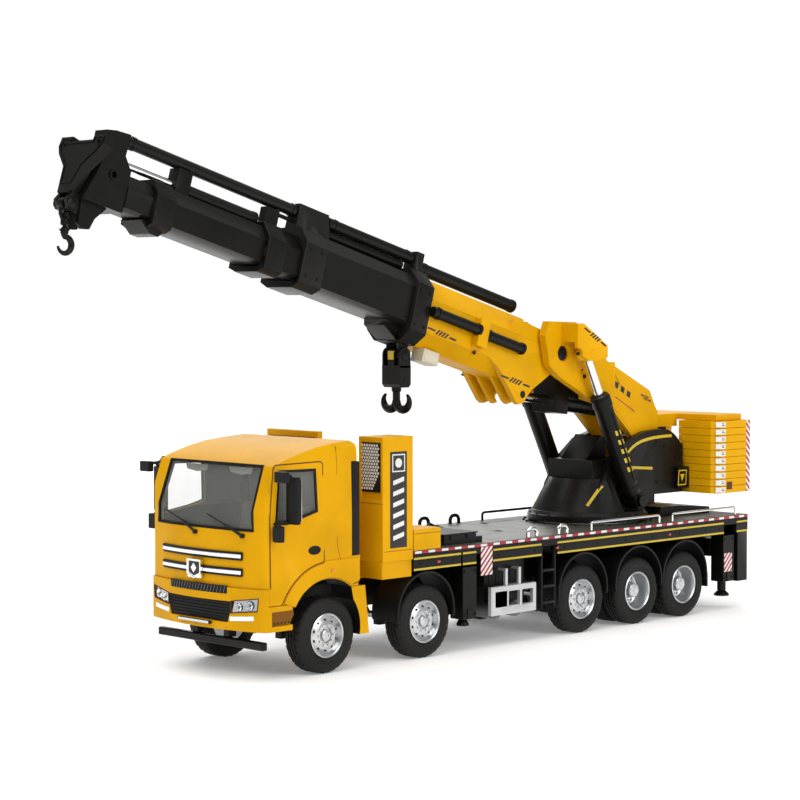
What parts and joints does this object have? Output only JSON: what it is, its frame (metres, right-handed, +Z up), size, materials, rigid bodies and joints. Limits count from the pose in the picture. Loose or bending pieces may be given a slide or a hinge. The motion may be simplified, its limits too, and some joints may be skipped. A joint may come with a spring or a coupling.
{
  "type": "toy crane truck",
  "caption": "Die-cast style toy truck with a slewing knuckle-boom crane, telescopic boom, hydraulic cylinders, hooks and outriggers.",
  "frame": {"origin": "on the ground, under the middle of the bounding box at rest", "axes": "+Z up; the truck faces -Y, so -Y runs along the boom to its hook; +X is the truck's left side"},
  "size_m": [0.063, 0.272, 0.1504],
  "materials": {
    "yellow_paint": "semi-gloss amber paint",
    "black_paint": "satin black paint on die-cast metal",
    "deck_paint": "matte grey-green, slightly rough",
    "black_plastic": "matte moulded plastic",
    "tyre": "matte rubber with tread",
    "rim": "bright silver",
    "chrome": "polished",
    "steel": "bright pin ends",
    "rail_white": "white and black painted wire",
    "tank_grey": "satin grey",
    "lamp": "clear ribbed lens on a silver bowl",
    "glass": "lightly tinted clear pane"
  },
  "bodies": {
    "chassis": {"frame_rails": "black_paint", "deck": "deck_paint", "side_skirts": "black_paint", "cab_shell": "yellow_paint", "cab_glass": "glass", "cab_interior": "black_plastic", "front_bumper": "yellow_paint", "grille_trims": "chrome", "front_grilles": "black_plastic", "head_lamps": "lamp", "mirrors": "black_plastic", "wipers": "black_plastic", "air_intake": "black_plastic", "underrun_bar": "black_paint", "equipment_boxes": "yellow_paint", "pump_unit": "black_plastic", "deck_rails": "rail_white", "ladders": "black_plastic", "tank_guards": "chrome", "tanks": "tank_grey", "fenders": "black_plastic", "outrigger_housings": "black_paint", "slew_ring": "steel"},
    "axle_1": {"tyres_1": "tyre", "wheels_1": "rim"},
    "axle_2": {"tyres_2": "tyre", "wheels_2": "rim"},
    "axle_3": {"tyres_3": "tyre", "wheels_3": "rim"},
    "axle_4": {"tyres_4": "tyre", "wheels_4": "rim"},
    "axle_5": {"tyres_5": "tyre", "wheels_5": "rim"},
    "beam_front_left": {"beam_front_left": "black_paint"},
    "jack_front_left": {"jack_front_left": "black_paint"},
    "beam_front_right": {"beam_front_right": "black_paint"},
    "jack_front_right": {"jack_front_right": "black_paint"},
    "beam_rear_left": {"beam_rear_left": "black_paint"},
    "jack_rear_left": {"jack_rear_left": "black_paint"},
    "beam_rear_right": {"beam_rear_right": "black_paint"},
    "jack_rear_right": {"jack_rear_right": "black_paint"},
    "crane": {"turntable": "black_paint", "column": "black_paint", "crane_pins": "steel", "counterweight": "yellow_paint"},
    "arm": {"inner_arm": "yellow_paint", "arm_pins": "steel"},
    "lift_barrels": {"lift_barrels": "black_paint"},
    "lift_rods": {"lift_rods": "chrome"},
    "elbow_barrel": {"elbow_barrel": "black_paint"},
    "elbow_rod": {"elbow_rod": "chrome"},
    "boom": {"boom_base": "yellow_paint", "boom_sleeve": "black_paint", "boom_tubes": "black_paint"},
    "boom_2": {"boom_section_2": "black_paint"},
    "boom_3": {"boom_section_3": "black_paint"},
    "boom_4": {"boom_section_4": "black_paint"},
    "hook_link": {"hook_link": "black_paint"},
    "hook": {"hook": "black_paint"},
    "twin_hook": {"twin_hook_block": "black_paint"}
  },
  "joints": [
    {"name": "axle_1_spin", "type": "hinge", "parent": "chassis", "child": "axle_1", "pos_m": [0, -0.06088, 0.0108], "axis": [1, 0, 0], "continuous": true},
    {"name": "axle_2_spin", "type": "hinge", "parent": "chassis", "child": "axle_2", "pos_m": [0, -0.02173, 0.0108], "axis": [1, 0, 0], "continuous": true},
    {"name": "axle_3_spin", "type": "hinge", "parent": "chassis", "child": "axle_3", "pos_m": [0, 0.04892, 0.0108], "axis": [1, 0, 0], "continuous": true},
    {"name": "axle_4_spin", "type": "hinge", "parent": "chassis", "child": "axle_4", "pos_m": [0, 0.07662, 0.0108], "axis": [1, 0, 0], "continuous": true},
    {"name": "axle_5_spin", "type": "hinge", "parent": "chassis", "child": "axle_5", "pos_m": [0, 0.10082, 0.0108], "axis": [1, 0, 0], "continuous": true},
    {"name": "beam_front_left_slide", "type": "slide", "parent": "chassis", "child": "beam_front_left", "axis": [1, 0, 0], "range_m": [0, 0.014]},
    {"name": "jack_front_left_lower", "type": "slide", "parent": "beam_front_left", "child": "jack_front_left", "axis": [0, 0, -1], "range_m": [0, 0.0074]},
    {"name": "beam_front_right_slide", "type": "slide", "parent": "chassis", "child": "beam_front_right", "axis": [-1, 0, 0], "range_m": [0, 0.014]},
    {"name": "jack_front_right_lower", "type": "slide", "parent": "beam_front_right", "child": "jack_front_right", "axis": [0, 0, -1], "range_m": [0, 0.0074]},
    {"name": "beam_rear_left_slide", "type": "slide", "parent": "chassis", "child": "beam_rear_left", "axis": [1, 0, 0], "range_m": [0, 0.014]},
    {"name": "jack_rear_left_lower", "type": "slide", "parent": "beam_rear_left", "child": "jack_rear_left", "axis": [0, 0, -1], "range_m": [0, 0.0046]},
    {"name": "beam_rear_right_slide", "type": "slide", "parent": "chassis", "child": "beam_rear_right", "axis": [-1, 0, 0], "range_m": [0, 0.014]},
    {"name": "jack_rear_right_lower", "type": "slide", "parent": "beam_rear_right", "child": "jack_rear_right", "axis": [0, 0, -1], "range_m": [0, 0.0046]},
    {"name": "slew", "type": "hinge", "parent": "chassis", "child": "crane", "pos_m": [0, 0.07992, 0.033], "axis": [0, 0, 1], "continuous": true},
    {"name": "arm_lift", "type": "hinge", "parent": "crane", "child": "arm", "pos_m": [0, 0.09912, 0.0575], "axis": [-1, 0, 0], "range_deg": [-4, 30]},
    {"name": "lift_barrel_tilt", "type": "hinge", "parent": "crane", "child": "lift_barrels", "pos_m": [0, 0.08562, 0.039], "axis": [-1, 0, 0], "range_deg": [-3.2, 23.3]},
    {"name": "lift_rod_slide", "type": "slide", "parent": "lift_barrels", "child": "lift_rods", "axis": [0, -0.4559, 0.89], "range_m": [-0.0014, 0.0098]},
    {"name": "boom_knuckle", "type": "hinge", "parent": "arm", "child": "boom", "pos_m": [0, 0.05362, 0.088], "axis": [-1, 0, 0], "range_deg": [-12, 15]},
    {"name": "elbow_barrel_tilt", "type": "hinge", "parent": "arm", "child": "elbow_barrel", "pos_m": [0, 0.09062, 0.0686], "axis": [-1, 0, 0], "range_deg": [-3.3, 4.1]},
    {"name": "elbow_rod_slide", "type": "slide", "parent": "elbow_barrel", "child": "elbow_rod", "axis": [0, -0.9922, 0.1247], "range_m": [-0.0032, 0.0039]},
    {"name": "extend_2", "type": "slide", "parent": "boom", "child": "boom_2", "axis": [0, -0.9632, 0.2689], "range_m": [0, 0.028]},
    {"name": "extend_3", "type": "slide", "parent": "boom_2", "child": "boom_3", "axis": [0, -0.9632, 0.2689], "range_m": [0, 0.022]},
    {"name": "extend_4", "type": "slide", "parent": "boom_3", "child": "boom_4", "axis": [0, -0.9632, 0.2689], "range_m": [0, 0.026]},
    {"name": "hook_link_swing", "type": "hinge", "parent": "boom_4", "child": "hook_link", "pos_m": [0, -0.13307, 0.13036], "axis": [1, 0, 0], "range_deg": [-30, 50]},
    {"name": "hook_swivel", "type": "hinge", "parent": "hook_link", "child": "hook", "pos_m": [0, -0.13307, 0.12436], "axis": [0, 0, 1], "continuous": true},
    {"name": "twin_hook_swing", "type": "hinge", "parent": "boom", "child": "twin_hook", "pos_m": [0, -0.0096, 0.08842], "axis": [1, 0, 0], "range_deg": [-30, 30]}
  ],
  "couplings": [
    {"joint": "lift_barrel_tilt", "follows": "arm_lift", "ratio": 0.77102},
    {"joint": "lift_rod_slide", "follows": "arm_lift", "m_per_rad": 0.018315},
    {"joint": "elbow_barrel_tilt", "follows": "boom_knuckle", "ratio": 0.26386},
    {"joint": "elbow_rod_slide", "follows": "boom_knuckle", "m_per_rad": 0.014333}
  ]
}
